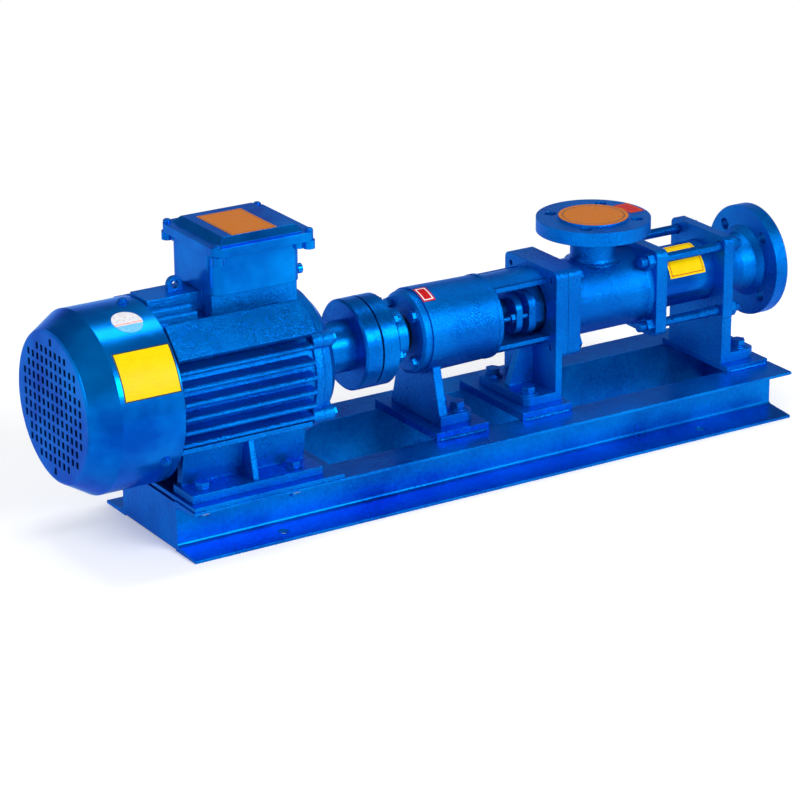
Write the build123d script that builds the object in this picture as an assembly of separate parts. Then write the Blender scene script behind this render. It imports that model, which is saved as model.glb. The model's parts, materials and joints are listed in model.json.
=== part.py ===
from build123d import *
import math
import os

# Progressive cavity pump with its electric motor on a channel base frame.
# All sizes are in millimetres. +X runs from the motor to the outlet flange,
# +Z is up, and the origin lies on the floor between the foundation holes.

# ---- base frame ----
base_length = 1000
base_height = 72
web_face_y = 77.5
web_thick = 5
flange_reach = 50
flange_tip_thick = 4
flange_root_thick = 8
channel_fillet = 5
anchor_pitch_x = 704
anchor_pitch_y = 210
anchor_hole_r = 7
end_plate_thick = 6
motor_pad_thick = 6
motor_pad_x = (-498, -267)
pad_edge_inset = 1.5
motor_pad_half_width = web_face_y + flange_reach - pad_edge_inset
foot_pad_thick = 12
foot_pad_half_width = 82
bearing_pad_x = (-90, -4)
bracket_pad_x = (54, 138)
outlet_pad_thick = 8
outlet_pad_half_width = 80
outlet_pad_x = (418, 492)

# ---- shared fits ----
fit_gap = 0.1
bolt_hole_gap = 0.8
running_gap = 0.05
turning_clearance = 0.5

# ---- motor ----
motor_centre_height = 132
axis_z = base_height + motor_pad_thick + motor_centre_height
frame_x = (-507, -283)
fan_cover_r = 126
fan_cover_sheet = 2
fin_height = 24
fin_envelope_r = fan_cover_r - fan_cover_sheet
barrel_r = fin_envelope_r - fin_height
barrel_wall = 7
frame_fin_x = (-505, -304)
fin_thick = 6
fin_root_thick = 8.5
fin_tip_bevel = 2
side_fin_heights = (-48, -28, -8, 12, 32, 52)
top_fin_offsets = (-49, -34, 34, 49)
top_fin_end_gap = 22
lifting_block_half_width = 24
lifting_tab_x = -452
lifting_tab_r = 11
shoulder_pad_distance = 127.5
shoulder_pad_width = 53
shoulder_pad_thick = 9
foot_length_x = (-493, -293)
foot_outer_y = 112
foot_inner_y = 58
foot_thick = 12
foot_bolt_y = 91
foot_bolt_r = 6
foot_bolt_flats = 18
foot_bolt_pitch_x = 140
foot_bolt_mid_x = -397
endshield_face_x = -255
shaft_shoulder_x = -246
ear_bolt_ring_r = barrel_r + 6
front_ear_angles = (30, 150, 210, 330)
rear_ear_angles = (60, 120, 240, 300)
motor_screw_r = 4
ear_r = 11
rear_shield_x = (-523, -507)
fan_cover_rear_x = -637
fan_cover_cone_x = -599
fan_cover_front_x = -507
fan_cover_rear_r = fan_cover_r - 21.5
fan_cover_edge = 4
fan_cover_lug_angles = (90, 210, 330)
grille_slot = (7, 9.5)
grille_pitch = (13.2, 15)
grille_margin = 8.5
fan_x = (fan_cover_rear_x + 47, fan_cover_rear_x + 85)
fan_disc_thick = 4
fan_r = fan_cover_r - 28
fan_hub_r = 26
fan_seat_r = 17
fan_blade_count = 8
stator_core_x = (-470, -320)
stator_bore_r = 60
air_gap = 0.5
winding_overhang = 26
motor_shaft_end_r = 19
motor_shaft_core_r = 24
motor_shaft_end_x = -168
motor_shaft_rear_x = fan_x[0] + 2
motor_bearing_bore_r = 20
motor_bearing_r = 45
motor_bearing_width = 23
terminal_neck_x = (-424, -294)
terminal_neck_half_width = 52
terminal_neck_z = (300, 340)
terminal_box_x = (-426, -289)
terminal_box_half_width = 61
terminal_box_corner_r = 19
terminal_box_z = (340, 398)
terminal_wall = 4
cable_gland_y = 20
cable_gland_rise = 26
blind_plug = (-44, 11)
blind_plug_r = 7
lid_x = (-431, -276)
lid_half_width = 77
lid_corner_r = 14
lid_skirt = 12
lid_lug_height = 12
lid_lug_r = 8
lid_screw_r = 2.5
lid_plateau = 9
lid_screw_inset = 8

# ---- coupling ----
motor_hub_r = 36.5
motor_hub_x = (-238, -192)
coupling_disc_r = 64.5
motor_disc_x = (-192, -166)
coupling_gap = 2.5
pump_disc_x = (motor_disc_x[1] + coupling_gap, -136)
pump_hub_r = 38
pump_hub_end_x = -106
coupling_pin_ring_r = 50
coupling_pin_count = 6
coupling_pin_r = 5
coupling_bush_r = 9
bush_floor = 6

# ---- bearing bracket ----
housing_x = (-82, 37)
housing_r = 62
housing_rim_x = 29
housing_rim_r = 59.5
bearing_r = 40
bearing_bore_r = 20
bearing_width = 18
front_bearing_x = -82
rear_bearing_x = 0
cover_x = (-95, -82)
cover_r = 59.5
cover_bolt_ring_r = 47.5
cover_bolt_angles = (45, 135, 225, 315)
leg_x = (-73, -60)
leg_half_width_top = 42
foot_half_width = 65
foot_corner_r = 14
bolt_seat_r = 15
bolt_seat_rise = 1.5
foot_stud_r = 6
leg_foot_x = (-73, -16)
leg_foot_thick = 15
leg_bolt_x = -33
foot_bolt_half_pitch = 45
lantern_r = (46, 57)
window_z = (-33, 43)
plate_half = 65
plate_corner_r = 10
bracket_plate_x = (121, 141.5)
bracket_plate_bore_r = 41
plate_leg_thick = 11
plate_foot_x = (70, 132)
plate_foot_thick = 13
plate_foot_bolt_x = 87

# ---- drive shaft and shaft seal ----
drive_shaft_end_r = 17
drive_shaft_seal_r = 18
drive_shaft_head_r = 23
drive_shaft_x = (-161, 186)
shaft_head_taper_x = (154.5, 160)
box_bore_r = 25
stuffing_box_x = 92
stuffing_box_r = 33
packing_ring_count = 4
packing_width = 6.5
gland_flange_x = (70, 80)
gland_nose_x = 107
gland_stud_y = 33
gland_stud_r = 4
gland_travel = 12

# ---- suction chamber ----
gasket_thick = 0.5
chamber_x = (bracket_plate_x[1] + gasket_thick, 315)
chamber_left_flange = 21
chamber_right_flange = 18.5
chamber_r = 56
chamber_flare = 8
chamber_wall = 8
pipe_flange_r = 82.5
pipe_flange_thick = 20
raised_face_r = 51
raised_face_height = 2
pipe_bolt_ring_r = 62.5
pipe_bolt_hole_r = 9
pipe_bore_r = 25
suction_x = 229
suction_top_z = 326
suction_neck_r = 33
neck_flare = 8
chamber_bolt_offset = 50

# ---- rotor, stator and coupling rod ----
eccentricity = 6
rotor_r = 19
rotor_pitch = 60
rotor_clearance = 0.6
rotor_x = (306, 431)
tube_r = 44.5
tube_wall = 5
stator_x = (305, 428)
rod_left_x = 170
rod_right_x = 276
rod_ball_r = 14
rod_neck_r = 9
socket_gap = 0.8
joint_pin_r = 3
rotor_head_r = 22
rotor_head_x = (260, 300)

# ---- outlet body ----
outlet_plate_x = (418, 435)
outlet_foot_end_x = 482
outlet_foot_half_width = 64
outlet_foot_thick = 15
outlet_bolt_x = 463
outlet_end_x = 524
outlet_neck_r = 37
tie_rod_r = 7
tie_rod_nut = (21, 11)
tie_rod_y = 51
tie_rod_z = 49
tie_rod_x = (275, 454)


# ---------- helpers ----------
def bar_x(x0, x1, r, hole=0, y=0, z=axis_z):
    """Round bar or tube lying along X."""
    face = Circle(r)
    if hole:
        face = face - Circle(hole)
    start = Plane(origin=(x0, y, z), x_dir=(0, 1, 0), z_dir=(1, 0, 0))
    return extrude(start * face, x1 - x0)


def bar_z(x, y, z0, z1, r, hole=0):
    """Round bar or tube standing along Z."""
    face = Circle(r)
    if hole:
        face = face - Circle(hole)
    return Pos(x, y, z0) * extrude(face, z1 - z0)


def turned(points, y=0, z=axis_z):
    """Solid turned about an X axis from (x, radius) points."""
    face = make_face(Plane.XZ * Polyline(*points, close=True))
    return Pos(0, y, z) * revolve(face, axis=Axis.X)


def block(x, y, z):
    """Box from three (low, high) pairs."""
    mid = [(a + b) / 2 for a, b in (x, y, z)]
    size = [b - a for a, b in (x, y, z)]
    return Pos(*mid) * Box(*size)


def prism_x(points, x0, x1):
    """Solid of constant (y, z) outline from x0 to x1."""
    face = make_face(Plane.YZ * Polyline(*points, close=True))
    return Pos(x0, 0, 0) * extrude(face, x1 - x0, dir=(1, 0, 0))


def prism_y(points, y0, y1):
    """Solid of constant (x, z) outline from y0 to y1."""
    face = make_face(Plane.XZ * Polyline(*points, close=True))
    return Pos(0, y0, 0) * extrude(face, y1 - y0, dir=(0, 1, 0))


def hex_x(x0, x1, flats, y, z):
    """Hexagon bar along X."""
    start = Plane(origin=(x0, y, z), x_dir=(0, 1, 0), z_dir=(1, 0, 0))
    return extrude(start * RegularPolygon(flats / 2, 6, major_radius=False), x1 - x0)


def hex_z(x, y, z0, z1, flats):
    """Hexagon bar along Z."""
    return Pos(x, y, z0) * extrude(RegularPolygon(flats / 2, 6, major_radius=False), z1 - z0)


def around(radius, degrees):
    """Point (y, z) on a ring about the pump axis; 0 degrees points to +Y."""
    angle = math.radians(degrees)
    return radius * math.cos(angle), axis_z + radius * math.sin(angle)


def rounded_plate(x0, x1, half, corner):
    """Square plate with rounded corners, centred on the pump axis."""
    start = Plane(origin=(x0, 0, axis_z), x_dir=(0, 1, 0), z_dir=(1, 0, 0))
    return extrude(start * RectangleRounded(2 * half, 2 * half, corner), x1 - x0)


def bolt_down(x, y, seat_z, r, flats, head, tip_z):
    """Hexagon-head bolt with a round collar, pointing down."""
    collar = 1.6
    bolt = bar_z(x, y, seat_z, seat_z + collar, flats * 0.62)
    bolt += hex_z(x, y, seat_z + collar, seat_z + collar + head, flats)
    bolt += bar_z(x, y, tip_z, seat_z, r)
    return bolt


def nut_with_hole_x(x0, x1, flats, r, y, z):
    """Hexagon nut along X with its bore."""
    return hex_x(x0, x1, flats, y, z) - bar_x(x0, x1, r, 0, y, z)


def group(solids):
    """Separate solids kept in one node."""
    return Compound(children=list(solids))


def quarter(start, end, centre):
    """Quarter arc between two points of a profile."""
    radius = math.dist(start, centre)
    across = start[0] + end[0] - 2 * centre[0]
    up = start[1] + end[1] - 2 * centre[1]
    reach = radius / math.hypot(across, up)
    return ThreePointArc(start, (centre[0] + across * reach, centre[1] + up * reach), end)


def spool(low, high, r, flare):
    """Round neck from low to high along X whose ends flare out by quarter arcs."""
    edges = [Polyline((low, r + flare), (low, 0), (high, 0), (high, r + flare)),
             quarter((high, r + flare), (high - flare, r), (high - flare, r + flare)),
             Line((high - flare, r), (low + flare, r)),
             quarter((low + flare, r), (low, r + flare), (low + flare, r + flare))]
    return revolve(make_face(edges), axis=Axis.X)


# ---------- base frame ----------
def base_channel(side):
    """Rolled channel with both flanges pointing away from the pump axis."""
    inner = web_face_y - web_thick
    tip = web_face_y + flange_reach
    outline = [
        (inner, 0), (tip, 0), (tip, flange_tip_thick), (web_face_y, flange_root_thick),
        (web_face_y, base_height - flange_root_thick), (tip, base_height - flange_tip_thick),
        (tip, base_height), (inner, base_height),
    ]
    channel = prism_x(outline, -base_length / 2, base_length / 2)
    roots = channel.edges().filter_by(Axis.X).filter_by(
        lambda e: abs(e.center().Y - web_face_y) < 0.1)
    channel = fillet(roots, channel_fillet)
    for x in (-anchor_pitch_x / 2, anchor_pitch_x / 2):
        channel -= bar_z(x, anchor_pitch_y / 2, -1, flange_root_thick + 1, anchor_hole_r)
    for x in motor_foot_bolt_xs():
        channel -= bar_z(x, foot_bolt_y, base_height / 2, base_height + 1, foot_bolt_r + bolt_hole_gap)
    return channel if side > 0 else channel.mirror(Plane.XZ)


def base_end_plate(x0):
    half = web_face_y - web_thick
    return block((x0, x0 + end_plate_thick), (-half, half), (2, base_height - 2))


def motor_pad():
    pad = block(motor_pad_x, (-motor_pad_half_width, motor_pad_half_width),
                (base_height, base_height + motor_pad_thick))
    for x in motor_foot_bolt_xs():
        for y in (-foot_bolt_y, foot_bolt_y):
            pad -= bar_z(x, y, base_height - 1, base_height + motor_pad_thick + 1,
                         foot_bolt_r + bolt_hole_gap)
    return pad


def foot_pad(x, half_width, thick, bolt_x):
    pad = block(x, (-half_width, half_width), (base_height, base_height + thick))
    for y in (-foot_bolt_half_pitch, foot_bolt_half_pitch):
        pad -= bar_z(bolt_x, y, base_height - 1, base_height + thick + 1, foot_stud_r + fit_gap)
    return pad


def foot_bolts(bolt_x, foot_top, pad_bottom):
    """Two hexagon bolts through a foot into its tapped pad."""
    return [bolt_down(bolt_x, y, foot_top, foot_stud_r, 19, 8, pad_bottom - 4)
            for y in (-foot_bolt_half_pitch, foot_bolt_half_pitch)]


# ---------- motor ----------
def motor_foot_bolt_xs():
    return (foot_bolt_mid_x - foot_bolt_pitch_x / 2, foot_bolt_mid_x + foot_bolt_pitch_x / 2)


def fin_outline(root, reach):
    """Tapered fin with a bevelled tip as (outward, across) points."""
    half, half_root, bevel = fin_thick / 2, fin_root_thick / 2, fin_tip_bevel
    return [(root, -half_root), (reach - bevel, -half), (reach, bevel - half),
            (reach, half - bevel), (reach - bevel, half), (root, half_root)]


def side_fin(height):
    """One horizontal cooling fin on the +Y side of the barrel."""
    reach = math.sqrt(fin_envelope_r ** 2 - (abs(height) + fin_thick / 2) ** 2)
    root = math.sqrt(max(barrel_r ** 2 - height ** 2, 0)) - 4
    return prism_x([(out, axis_z + height + across) for out, across in fin_outline(root, reach)],
                   *frame_fin_x)


def top_fin(offset, x):
    """One upright cooling fin on top of the barrel."""
    reach = math.sqrt(fin_envelope_r ** 2 - (abs(offset) + fin_thick / 2) ** 2)
    root = math.sqrt(barrel_r ** 2 - offset ** 2) - 4
    return prism_x([(offset + across, axis_z + out) for out, across in fin_outline(root, reach)], *x)


def lifting_block():
    """Raised block between fan cover and terminal box with its drilled lifting tab."""
    top = terminal_neck_z[1] - 1
    half = lifting_block_half_width
    body = block((frame_fin_x[0], terminal_neck_x[0] + 1), (-half, half), (axis_z + barrel_r - 6, top))
    tab = block((lifting_tab_x - lifting_tab_r, lifting_tab_x + lifting_tab_r), (-4, 4),
                (top - 1, top + 8))
    wheel = Pos(lifting_tab_x, 4, top + 8) * Rot(90, 0, 0)
    tab += wheel * extrude(Circle(lifting_tab_r), 8)
    tab -= wheel * Pos(0, 0, -1) * extrude(Circle(lifting_tab_r / 2), 10)
    return body + tab


def shoulder_pad():
    """Flat cast shoulder at 45 degrees between the side fins and the terminal box."""
    half = shoulder_pad_width / 2
    d = shoulder_pad_distance
    t = shoulder_pad_thick
    outline = [(half, d), (-half, d), (-half, d - t), (-6, d - t), (-6, barrel_r - 4),
               (6, barrel_r - 4), (6, d - t), (half, d - t)]
    turn = math.radians(-45)
    turned_outline = [(a * math.cos(turn) - b * math.sin(turn),
                       axis_z + a * math.sin(turn) + b * math.cos(turn)) for a, b in outline]
    return prism_x(turned_outline, *frame_fin_x)


def motor_foot():
    """Cast foot on the +Y side: sole plate, upright wall and middle rib."""
    base_z = base_height + motor_pad_thick
    sole = block(foot_length_x, (foot_inner_y, foot_outer_y), (base_z, base_z + foot_thick))
    wall_points = [(foot_inner_y, base_z + foot_thick - 1),
                   (foot_inner_y + 12, base_z + foot_thick - 1),
                   (barrel_r - 20, axis_z - 64), (barrel_r - 36, axis_z - 70)]
    wall = prism_x(wall_points, foot_length_x[0] + 6, foot_length_x[1] - 6)
    rib_points = [(foot_inner_y + 5, base_z + foot_thick - 1),
                  (foot_outer_y - 5, base_z + foot_thick - 1), (barrel_r - 8, axis_z - 60),
                  (barrel_r - 26, axis_z - 60)]
    mid = (foot_length_x[0] + foot_length_x[1]) / 2
    rib = prism_x(rib_points, mid - 4, mid + 4)
    skirt = prism_x([(barrel_r - 28, axis_z - 56), (barrel_r - 28, axis_z - 66),
                     (barrel_r + 6, axis_z - 62), (barrel_r + 6, axis_z - 55)], *frame_fin_x)
    foot = sole + wall + rib + skirt
    for x in motor_foot_bolt_xs():
        foot -= bar_z(x, foot_bolt_y, base_z - 1, base_z + foot_thick + 1,
                      foot_bolt_r + bolt_hole_gap)
    return foot


def add_ears(body, x0, x1, angles, hole_r):
    """Add drilled lugs for the endshield screws to a turned body."""
    for angle in angles:
        body += bar_x(x0, x1, ear_r, 0, *around(ear_bolt_ring_r, angle))
        body += bar_x(x0, x1, ear_r, 0, *around(barrel_r - 4, angle))
    for angle in angles:
        body -= bar_x(x0 - 20, x1 + 20, hole_r, 0, *around(ear_bolt_ring_r, angle))
    return body


def motor_frame():
    """Finned cast barrel with feet, shoulder pads and the terminal box neck."""
    frame = bar_x(*frame_x, barrel_r)
    frame += bar_x(frame_x[1] - 12, frame_x[1], barrel_r + 4)
    foot = motor_foot()
    shoulder = shoulder_pad()
    for part in [side_fin(h) for h in side_fin_heights] + [foot, shoulder]:
        frame += part
        frame += part.mirror(Plane.XZ)
    for offset in top_fin_offsets:
        frame += top_fin(offset, (frame_fin_x[0], terminal_neck_x[0] - top_fin_end_gap))
    frame += lifting_block()
    frame += block(terminal_neck_x, (-terminal_neck_half_width, terminal_neck_half_width),
                   terminal_neck_z)
    frame = add_ears(frame, frame_x[1] - 16, frame_x[1], front_ear_angles, motor_screw_r + fit_gap)
    frame = add_ears(frame, frame_x[0], frame_x[0] + 16, rear_ear_angles, motor_screw_r + fit_gap)
    frame -= bar_x(frame_x[0] - 1, frame_x[1] + 1, barrel_r - barrel_wall)
    frame -= block((terminal_neck_x[0] + 25, terminal_neck_x[1] - 25), (-30, 30),
                   (axis_z, terminal_neck_z[1] + 1))
    return frame


def drive_endshield():
    """Cast endshield at the coupling end with its bearing seat."""
    x = frame_x[1]
    face = endshield_face_x
    seat = face - 4 - motor_bearing_width
    points = [(x - 6, barrel_r - barrel_wall - 0.1), (x, barrel_r - barrel_wall - 0.1),
              (x, barrel_r), (x + 4, barrel_r + 2), (x + 14, barrel_r), (face - 5, barrel_r - 11),
              (face, barrel_r - 16), (face, 50), (shaft_shoulder_x - 1, 46), (shaft_shoulder_x - 1, 21),
              (face - 4, 21), (face - 4, motor_bearing_r), (seat, motor_bearing_r),
              (seat - 2, 52), (face - 10, 60), (face - 10, barrel_r - 18), (x + 6, barrel_r - barrel_wall - 6),
              (x - 6, barrel_r - barrel_wall - 6)]
    return add_ears(turned(points), x, x + 16, front_ear_angles, motor_screw_r + bolt_hole_gap)


def rear_endshield():
    """Endshield inside the fan cover, with the rear bearing seat and cover lugs."""
    x0, x1 = rear_shield_x
    seat = x0 + 4
    points = [(x0, motor_shaft_core_r + 1), (x0, barrel_r - 4), (x1, barrel_r + 3),
              (x1, barrel_r - barrel_wall - 0.1), (x1 + 6, barrel_r - barrel_wall - 0.1),
              (x1 + 6, barrel_r - barrel_wall - 6), (x1 - 6, barrel_r - 14), (x0 + 8, 54),
              (seat + motor_bearing_width + 2, 52), (seat + motor_bearing_width, motor_bearing_r),
              (seat, motor_bearing_r), (seat, motor_shaft_core_r + 1)]
    shield = turned(points)
    inner_r = fan_cover_r - fan_cover_sheet
    for angle in fan_cover_lug_angles:
        lug = block((x0 - 14, x1), (barrel_r - 10, inner_r), (-8, 8))
        lug -= Pos(x0 - 6, inner_r, 0) * Rot(90, 0, 0) * Cylinder(3 + fit_gap, 30)
        lug = Pos(0, 0, axis_z) * Rot(angle, 0, 0) * lug
        shield += lug & bar_x(x0 - 20, x1 + 1, inner_r)
    return add_ears(shield, x1 - 12, x1, rear_ear_angles, motor_screw_r + bolt_hole_gap)


def endshield_bolts(head_x, direction, length, angles):
    """Hexagon screws that pull an endshield onto the frame."""
    bolts = []
    for angle in angles:
        y, z = around(ear_bolt_ring_r, angle)
        ends = sorted((head_x, head_x + direction * 6))
        bolt = hex_x(ends[0], ends[1], 13, y, z)
        ends = sorted((head_x, head_x - direction * length))
        bolts.append(bolt + bar_x(ends[0], ends[1], motor_screw_r, 0, y, z))
    return group(bolts)


def grille_cells():
    """Centres of the slots in the fan cover, row by row."""
    half_rows = int(fan_cover_rear_r // grille_pitch[1])
    half_columns = int(fan_cover_rear_r // grille_pitch[0])
    cells = []
    for row in range(-half_rows, half_rows + 1):
        for column in range(-half_columns, half_columns + 1):
            y = column * grille_pitch[0]
            z = row * grille_pitch[1]
            corner = math.hypot(abs(y) + grille_slot[0] / 2, abs(z) + grille_slot[1] / 2)
            if corner < fan_cover_rear_r - grille_margin:
                cells.append((y, z))
    return cells


def fan_cover():
    """Pressed sheet cowl with a grille of small upright slots."""
    t = fan_cover_sheet
    x0, x1, x2 = fan_cover_rear_x, fan_cover_cone_x, fan_cover_front_x
    edge = fan_cover_edge
    points = [(x0, 0), (x0, fan_cover_rear_r - edge), (x0 + edge / 2, fan_cover_rear_r),
              (x1, fan_cover_r), (x2, fan_cover_r), (x2, fan_cover_r - t), (x1, fan_cover_r - t),
              (x0 + edge / 2 + t, fan_cover_rear_r - t), (x0 + t, fan_cover_rear_r - edge - t),
              (x0 + t, 0)]
    cover = turned(points)
    face = Sketch() + [Pos(y, z) * Rectangle(*grille_slot) for y, z in grille_cells()]
    start = Plane(origin=(x0 - 1, 0, axis_z), x_dir=(0, 1, 0), z_dir=(1, 0, 0))
    cover -= extrude(start * face, t + 2)
    for angle in fan_cover_lug_angles:
        hole = Pos(rear_shield_x[0] - 6, fan_cover_r, 0) * Rot(90, 0, 0) * Cylinder(3.4, 12)
        cover -= Pos(0, 0, axis_z) * Rot(angle, 0, 0) * hole
    return cover


def fan_cover_screws():
    screws = []
    for angle in fan_cover_lug_angles:
        head = Cylinder(8, 1.2, align=(Align.CENTER, Align.CENTER, Align.MIN))
        head += Cylinder(6, 4, align=(Align.CENTER, Align.CENTER, Align.MIN))
        head += Pos(0, 0, 4) * Cylinder(4.2, 1.2, align=(Align.CENTER, Align.CENTER, Align.MIN))
        shank = Pos(0, 0, -14) * Cylinder(3, 14.2, align=(Align.CENTER, Align.CENTER, Align.MIN))
        screw = Pos(rear_shield_x[0] - 6, fan_cover_r, 0) * Rot(-90, 0, 0) * (head + shank)
        screws.append(Pos(0, 0, axis_z) * Rot(angle, 0, 0) * screw)
    return group(screws)


def cooling_fan():
    """Radial-blade plastic fan on the motor's rear shaft end."""
    x0, x1 = fan_x
    fan = bar_x(x0 + fan_disc_thick, x1, fan_hub_r, fan_seat_r)
    fan += bar_x(x1 - fan_disc_thick, x1, fan_r, fan_seat_r)
    for i in range(fan_blade_count):
        blade = block((x0, x1 - 1), (fan_hub_r - 2, fan_r), (-1.5, 1.5))
        fan += Pos(0, 0, axis_z) * Rot(i * 360 / fan_blade_count, 0, 0) * blade
    return fan


def terminal_box():
    """Open-topped rectangular box with a cable entry and a blind plug on the drive side."""
    mid = (terminal_box_x[0] + terminal_box_x[1]) / 2
    length = terminal_box_x[1] - terminal_box_x[0]
    floor, top = terminal_box_z
    width = 2 * terminal_box_half_width
    r, t = terminal_box_corner_r, terminal_wall
    outer = extrude(RectangleRounded(length, width, r), top - floor)
    inner = extrude(RectangleRounded(length - 2 * t, width - 2 * t, r - t), top - floor)
    box = Pos(mid, 0, floor) * (outer - Pos(0, 0, t) * inner)
    plug_y, plug_rise = blind_plug
    box += bar_x(terminal_box_x[1] - 1, terminal_box_x[1] + 6, blind_plug_r, 0, plug_y,
                 floor + plug_rise)
    box -= block((mid - 30, mid + 30), (-25, 25), (floor - 1, floor + 6))
    box -= bar_x(terminal_box_x[1] - 8, terminal_box_x[1] + 2, 12, 0, cable_gland_y,
                 floor + cable_gland_rise)
    for x, y in lid_screw_points():
        for share in (1, 0.86):
            box += bar_z(mid + (x - mid) * share, y * share, top - lid_lug_height, top, lid_lug_r)
    for x, y in lid_screw_points():
        box -= bar_z(x, y, top - lid_lug_height + 3, top + 1, lid_screw_r + fit_gap)
    return box


def lid_screw_points():
    xs = (lid_x[0] + lid_screw_inset, lid_x[1] - lid_screw_inset)
    ys = (-lid_half_width + lid_screw_inset, lid_half_width - lid_screw_inset)
    return [(x, y) for x in xs for y in ys]


def terminal_box_lid():
    """Cast lid with corner lugs and a raised plateau with sloping sides."""
    mid = (lid_x[0] + lid_x[1]) / 2
    length = lid_x[1] - lid_x[0]
    width = 2 * lid_half_width
    base = Pos(mid, 0, terminal_box_z[1]) * extrude(
        RectangleRounded(length, width, lid_corner_r), lid_skirt)
    low = Plane(origin=(mid, 0, terminal_box_z[1] + lid_skirt)) * Rectangle(length - 28, width - 22)
    high = Plane(origin=(mid, 0, terminal_box_z[1] + lid_skirt + lid_plateau)) * Rectangle(
        length - 46, width - 40)
    lid = base + loft([low, high])
    lid -= block((lid_x[0] + 14, lid_x[1] - 14), (-lid_half_width + 14, lid_half_width - 14),
                 (terminal_box_z[1] - 1, terminal_box_z[1] + lid_skirt - 4))
    for x, y in lid_screw_points():
        lid -= bar_z(x, y, terminal_box_z[1] - 1, terminal_box_z[1] + lid_skirt + 1,
                     lid_screw_r + bolt_hole_gap)
    return lid


def terminal_lid_screws():
    top = terminal_box_z[1] + lid_skirt
    return group([bar_z(x, y, top, top + 2.5, 5.5) + bar_z(x, y, top + 2.5, top + 4, 4)
                  + bar_z(x, y, terminal_box_z[1] - lid_lug_height + 4, top, lid_screw_r)
                  for x, y in lid_screw_points()])


def cable_gland():
    """Threaded cable entry with its hexagon and clamping cap."""
    z = terminal_box_z[0] + cable_gland_rise
    x = terminal_box_x[1]
    gland = bar_x(x - 7, x, 12 - fit_gap, 7, cable_gland_y, z)
    gland += hex_x(x, x + 7, 28, cable_gland_y, z) - bar_x(x, x + 7, 7, 0, cable_gland_y, z)
    gland += bar_x(x + 7, x + 20, 12, 7, cable_gland_y, z)
    return gland


def stator_core():
    return bar_x(*stator_core_x, barrel_r - barrel_wall - 0.05, stator_bore_r)


def stator_windings():
    """End turns of the windings on both sides of the core."""
    left = turned([(stator_core_x[0], 66), (stator_core_x[0], 88),
                   (stator_core_x[0] - winding_overhang, 84),
                   (stator_core_x[0] - winding_overhang, 68)])
    right = turned([(stator_core_x[1], 66), (stator_core_x[1], 88),
                    (stator_core_x[1] + winding_overhang, 84),
                    (stator_core_x[1] + winding_overhang, 68)])
    return group([left, right])


def rotor_core():
    """Squirrel-cage core with its short-circuit rings."""
    core = bar_x(*stator_core_x, stator_bore_r - air_gap, motor_shaft_core_r + 0.02)
    for x in ((stator_core_x[0] - 10, stator_core_x[0]), (stator_core_x[1], stator_core_x[1] + 10)):
        core += bar_x(*x, 56, 40)
    return core


def motor_shaft():
    """Stepped shaft with bearing seats, fan seat and keyed drive end."""
    rear_seat = rear_shield_x[0] + 4
    front_seat = endshield_face_x - 4 - motor_bearing_width
    x0 = motor_shaft_rear_x
    fan_end = fan_x[1] + 4
    collar = motor_bearing_bore_r - 0.5
    points = [(x0, 0), (x0, fan_seat_r - 1), (x0 + 1, fan_seat_r), (fan_end, fan_seat_r),
              (fan_end, collar), (rear_seat, collar), (rear_seat, motor_bearing_bore_r),
              (rear_seat + motor_bearing_width, motor_bearing_bore_r),
              (rear_seat + motor_bearing_width, motor_shaft_core_r),
              (front_seat, motor_shaft_core_r), (front_seat, motor_bearing_bore_r),
              (shaft_shoulder_x, motor_bearing_bore_r), (shaft_shoulder_x, motor_shaft_end_r),
              (motor_shaft_end_x - 1.5, motor_shaft_end_r),
              (motor_shaft_end_x, motor_shaft_end_r - 1.5), (motor_shaft_end_x, 0)]
    shaft = turned(points)
    shaft -= block((motor_hub_x[0], motor_shaft_end_x + 1), (-5, 5),
                   (axis_z + motor_shaft_end_r - 5, axis_z + motor_shaft_end_r + 1))
    return shaft


def ball_bearing(x0, width, bore_r, outer_r):
    """Sealed deep-groove bearing as one turned ring with grooved faces."""
    third = (outer_r - bore_r) / 3
    a, b = bore_r + third, outer_r - third
    return turned([(x0, bore_r + 0.02), (x0, a), (x0 + 1.5, a + 0.5), (x0 + 1.5, b - 0.5), (x0, b),
                   (x0, outer_r - 0.02), (x0 + width, outer_r - 0.02), (x0 + width, b),
                   (x0 + width - 1.5, b - 0.5), (x0 + width - 1.5, a + 0.5), (x0 + width, a),
                   (x0 + width, bore_r + 0.02)])


def motor_bearings():
    rear = rear_shield_x[0] + 4
    front = endshield_face_x - 4 - motor_bearing_width
    return group([ball_bearing(x, motor_bearing_width, motor_bearing_bore_r, motor_bearing_r)
                  for x in (rear, front)])


def motor_foot_bolts():
    top = base_height + motor_pad_thick + foot_thick
    bolts = []
    for x in motor_foot_bolt_xs():
        for y in (-foot_bolt_y, foot_bolt_y):
            bolts.append(bolt_down(x, y, top, foot_bolt_r, foot_bolt_flats, 7.5,
                                   base_height - 24))
    return group(bolts)


def motor_foot_nuts():
    """Nuts under the channel flanges with tapered washers above them."""
    nuts = []
    for x in motor_foot_bolt_xs():
        for y in (-foot_bolt_y, foot_bolt_y):
            top = base_height - flange_root_thick + 0.3
            nut = hex_z(x, y, top - 10, top, foot_bolt_flats)
            nut -= bar_z(x, y, top - 10, top, foot_bolt_r + fit_gap)
            nuts.append(nut)
    return group(nuts)


# ---------- coupling ----------
def coupling_pin_points(ring_r=coupling_pin_ring_r):
    step = 360 / coupling_pin_count
    return [around(ring_r, 15 + i * step) for i in range(coupling_pin_count)]


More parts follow.
